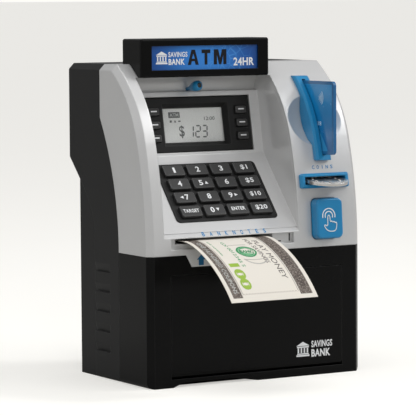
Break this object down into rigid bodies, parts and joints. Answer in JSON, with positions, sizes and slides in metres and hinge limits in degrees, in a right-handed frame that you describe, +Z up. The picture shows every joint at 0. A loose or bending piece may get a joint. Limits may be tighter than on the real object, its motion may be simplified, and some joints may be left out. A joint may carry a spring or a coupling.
{
  "type": "toy cash machine savings bank",
  "caption": "Toy cash machine money box with a console bay, keypad, banknote, coin and card slots, touch button and drop-down cash door.",
  "frame": {"origin": "middle of the flat base, halfway between the front face and the back", "axes": "+Z up, +X to the right as the user faces the console, +Y from the front to the back"},
  "size_m": [0.168, 0.1711, 0.231],
  "materials": {
    "silver_paint": "glossy silver paint on moulded plastic",
    "satin_black": "satin black moulded plastic",
    "gloss_black": "polished black plastic",
    "blue_plastic": "semi-gloss blue plastic",
    "sign_blue": "printed blue sign sheet",
    "lens_black": "polished black lens",
    "clear_plastic": "clear plastic window",
    "lcd_grey": "grey liquid crystal display",
    "grey_rubber": "grey rubber",
    "board_green": "green circuit board",
    "coin_nickel": "struck silver-coloured metal",
    "inner_plastic": "natural white plastic",
    "card_blue": "blue toy card",
    "note_paper": "printed play-money paper",
    "steel": "plain steel",
    "brass": "turned brass",
    "battery_wrap": "shrink-wrapped cell",
    "speaker_black": "paper cone and steel frame",
    "key_plastic": "satin dark grey plastic"
  },
  "bodies": {
    "housing": {"batteries": "battery_wrap", "battery_contacts": "steel", "battery_cover": "satin_black", "camera_housing": "blue_plastic", "camera_lens": "lens_black", "card_pocket": "inner_plastic", "card_slot_bezel": "blue_plastic", "coin_chute": "inner_plastic", "coin_slot_bezel": "blue_plastic", "console_panel": "silver_paint", "control_boards": "board_green", "front_frame": "silver_paint", "header_housing": "gloss_black", "key_membrane": "grey_rubber", "keypad_bezel": "satin_black", "latch_solenoid": "steel", "lcd_module": "lcd_grey", "lower_front_shell": "gloss_black", "main_board": "board_green", "motor": "steel", "note_guide": "inner_plastic", "rear_shell": "satin_black", "screen_bezel": "satin_black", "screen_window": "clear_plastic", "shell_screws": "steel", "sign_panel": "sign_blue", "speaker": "speaker_black"},
    "feed_roller": {"feed_roller": "grey_rubber", "roller_gear": "inner_plastic"},
    "pinch_roller": {"pinch_roller": "grey_rubber"},
    "motor_pinion": {"motor_pinion": "brass"},
    "door": {"door": "gloss_black", "door_hinge_pins": "steel"},
    "door_latch": {"door_latch": "steel"},
    "banknote": {"banknote": "note_paper"},
    "coin": {"coin": "coin_nickel"},
    "bank_card": {"bank_card": "card_blue"},
    "touch_button": {"touch_button": "blue_plastic"},
    "key_1": {"key_1": "key_plastic"},
    "key_2": {"key_2": "key_plastic"},
    "key_3": {"key_3": "key_plastic"},
    "key_add_1": {"key_add_1": "key_plastic"},
    "key_4": {"key_4": "key_plastic"},
    "key_5_up": {"key_5_up": "key_plastic"},
    "key_6": {"key_6": "key_plastic"},
    "key_add_5": {"key_add_5": "key_plastic"},
    "key_7_left": {"key_7_left": "key_plastic"},
    "key_8": {"key_8": "key_plastic"},
    "key_9_right": {"key_9_right": "key_plastic"},
    "key_add_10": {"key_add_10": "key_plastic"},
    "key_target": {"key_target": "key_plastic"},
    "key_0_down": {"key_0_down": "key_plastic"},
    "key_enter": {"key_enter": "key_plastic"},
    "key_add_20": {"key_add_20": "key_plastic"},
    "function_key_1": {"function_key_1": "key_plastic"},
    "function_key_2": {"function_key_2": "key_plastic"},
    "function_key_3": {"function_key_3": "key_plastic"},
    "function_key_4": {"function_key_4": "key_plastic"},
    "function_key_5": {"function_key_5": "key_plastic"},
    "function_key_6": {"function_key_6": "key_plastic"}
  },
  "joints": [
    {"name": "key_1_press", "type": "slide", "parent": "housing", "child": "key_1", "axis": [0, 0.7513, -0.66], "range_m": [0, 0.0012], "stiffness_N_per_m": 150},
    {"name": "key_2_press", "type": "slide", "parent": "housing", "child": "key_2", "axis": [0, 0.7513, -0.66], "range_m": [0, 0.0012], "stiffness_N_per_m": 150},
    {"name": "key_3_press", "type": "slide", "parent": "housing", "child": "key_3", "axis": [0, 0.7513, -0.66], "range_m": [0, 0.0012], "stiffness_N_per_m": 150},
    {"name": "key_add_1_press", "type": "slide", "parent": "housing", "child": "key_add_1", "axis": [0, 0.7513, -0.66], "range_m": [0, 0.0012], "stiffness_N_per_m": 150},
    {"name": "key_4_press", "type": "slide", "parent": "housing", "child": "key_4", "axis": [0, 0.7513, -0.66], "range_m": [0, 0.0012], "stiffness_N_per_m": 150},
    {"name": "key_5_up_press", "type": "slide", "parent": "housing", "child": "key_5_up", "axis": [0, 0.7513, -0.66], "range_m": [0, 0.0012], "stiffness_N_per_m": 150},
    {"name": "key_6_press", "type": "slide", "parent": "housing", "child": "key_6", "axis": [0, 0.7513, -0.66], "range_m": [0, 0.0012], "stiffness_N_per_m": 150},
    {"name": "key_add_5_press", "type": "slide", "parent": "housing", "child": "key_add_5", "axis": [0, 0.7513, -0.66], "range_m": [0, 0.0012], "stiffness_N_per_m": 150},
    {"name": "key_7_left_press", "type": "slide", "parent": "housing", "child": "key_7_left", "axis": [0, 0.7513, -0.66], "range_m": [0, 0.0012], "stiffness_N_per_m": 150},
    {"name": "key_8_press", "type": "slide", "parent": "housing", "child": "key_8", "axis": [0, 0.7513, -0.66], "range_m": [0, 0.0012], "stiffness_N_per_m": 150},
    {"name": "key_9_right_press", "type": "slide", "parent": "housing", "child": "key_9_right", "axis": [0, 0.7513, -0.66], "range_m": [0, 0.0012], "stiffness_N_per_m": 150},
    {"name": "key_add_10_press", "type": "slide", "parent": "housing", "child": "key_add_10", "axis": [0, 0.7513, -0.66], "range_m": [0, 0.0012], "stiffness_N_per_m": 150},
    {"name": "key_target_press", "type": "slide", "parent": "housing", "child": "key_target", "axis": [0, 0.7513, -0.66], "range_m": [0, 0.0012], "stiffness_N_per_m": 150},
    {"name": "key_0_down_press", "type": "slide", "parent": "housing", "child": "key_0_down", "axis": [0, 0.7513, -0.66], "range_m": [0, 0.0012], "stiffness_N_per_m": 150},
    {"name": "key_enter_press", "type": "slide", "parent": "housing", "child": "key_enter", "axis": [0, 0.7513, -0.66], "range_m": [0, 0.0012], "stiffness_N_per_m": 150},
    {"name": "key_add_20_press", "type": "slide", "parent": "housing", "child": "key_add_20", "axis": [0, 0.7513, -0.66], "range_m": [0, 0.0012], "stiffness_N_per_m": 150},
    {"name": "function_key_1_press", "type": "slide", "parent": "housing", "child": "function_key_1", "axis": [0, 0.9823, -0.1874], "range_m": [0, 0.001], "stiffness_N_per_m": 150},
    {"name": "function_key_2_press", "type": "slide", "parent": "housing", "child": "function_key_2", "axis": [0, 0.9823, -0.1874], "range_m": [0, 0.001], "stiffness_N_per_m": 150},
    {"name": "function_key_3_press", "type": "slide", "parent": "housing", "child": "function_key_3", "axis": [0, 0.9823, -0.1874], "range_m": [0, 0.001], "stiffness_N_per_m": 150},
    {"name": "function_key_4_press", "type": "slide", "parent": "housing", "child": "function_key_4", "axis": [0, 0.9823, -0.1874], "range_m": [0, 0.001], "stiffness_N_per_m": 150},
    {"name": "function_key_5_press", "type": "slide", "parent": "housing", "child": "function_key_5", "axis": [0, 0.9823, -0.1874], "range_m": [0, 0.001], "stiffness_N_per_m": 150},
    {"name": "function_key_6_press", "type": "slide", "parent": "housing", "child": "function_key_6", "axis": [0, 0.9823, -0.1874], "range_m": [0, 0.001], "stiffness_N_per_m": 150},
    {"name": "touch_button_press", "type": "slide", "parent": "housing", "child": "touch_button", "axis": [0, 0.9975, -0.0703], "range_m": [0, 0.0025], "stiffness_N_per_m": 200},
    {"name": "banknote_slide", "type": "slide", "parent": "housing", "child": "banknote", "axis": [0, -1, 0], "range_m": [0, 0.07]},
    {"name": "coin_slide", "type": "slide", "parent": "housing", "child": "coin", "axis": [0, 0.9903, 0.1392], "range_m": [-0.017, 0.028]},
    {"name": "card_slide", "type": "slide", "parent": "housing", "child": "bank_card", "axis": [0, -1, 0], "range_m": [-0.005, 0.05]},
    {"name": "latch_slide", "type": "slide", "parent": "housing", "child": "door_latch", "axis": [0, 0, -1], "range_m": [0, 0.005]},
    {"name": "door_hinge", "type": "hinge", "parent": "housing", "child": "door", "pos_m": [0.0005, -0.052, 0.009], "axis": [1, 0, 0], "range_deg": [0, 90]},
    {"name": "feed_spin", "type": "hinge", "parent": "housing", "child": "feed_roller", "pos_m": [-0.0243, -0.03, 0.09195], "axis": [1, 0, 0], "continuous": true},
    {"name": "pinch_spin", "type": "hinge", "parent": "housing", "child": "pinch_roller", "pos_m": [-0.0243, -0.03, 0.10145], "axis": [1, 0, 0], "continuous": true},
    {"name": "pinion_spin", "type": "hinge", "parent": "housing", "child": "motor_pinion", "pos_m": [-0.069, -0.0117, 0.09195], "axis": [1, 0, 0], "continuous": true}
  ],
  "couplings": [
    {"joint": "pinch_spin", "follows": "feed_spin", "ratio": -1.25},
    {"joint": "pinion_spin", "follows": "feed_spin", "ratio": -2}
  ]
}
